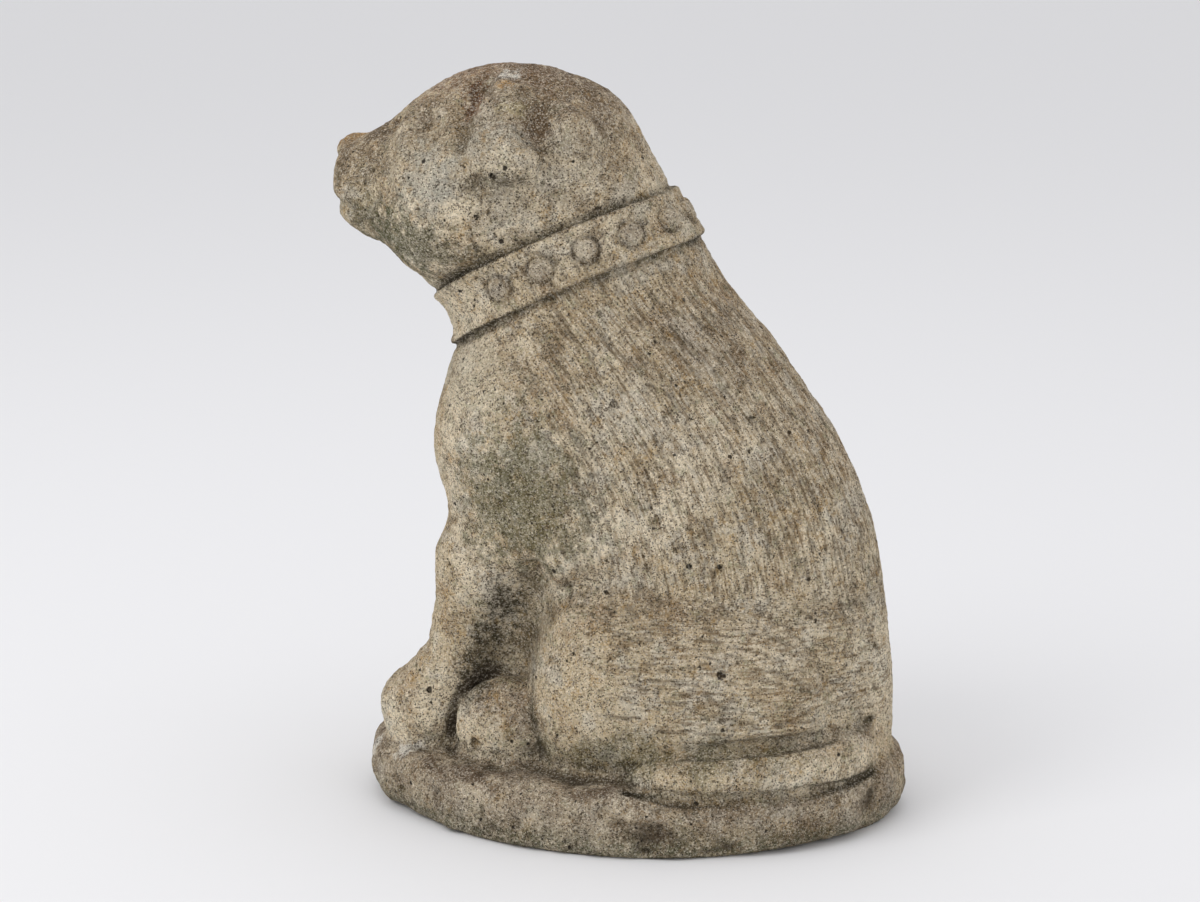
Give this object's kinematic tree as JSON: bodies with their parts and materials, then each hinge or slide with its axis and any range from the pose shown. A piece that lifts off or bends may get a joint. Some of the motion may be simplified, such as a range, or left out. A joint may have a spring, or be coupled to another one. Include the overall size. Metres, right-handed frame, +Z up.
{
  "type": "bulldog garden statue",
  "caption": "Weathered cast stone statue of a sitting bulldog with a studded collar, in one piece with its low oval base.",
  "frame": {"origin": "centre of the underside of the oval base", "axes": "+Z up through the crown of the head, -Y the way the dog looks, +X the dog's left side"},
  "size_m": [0.218, 0.3104, 0.3984],
  "materials": {
    "weathered_stone": "rough weathered cast stone with sand grain, air pores, brown stains and algae"
  },
  "bodies": {
    "root": {"bulldog_statue": "weathered_stone"}
  },
  "joints": []
}
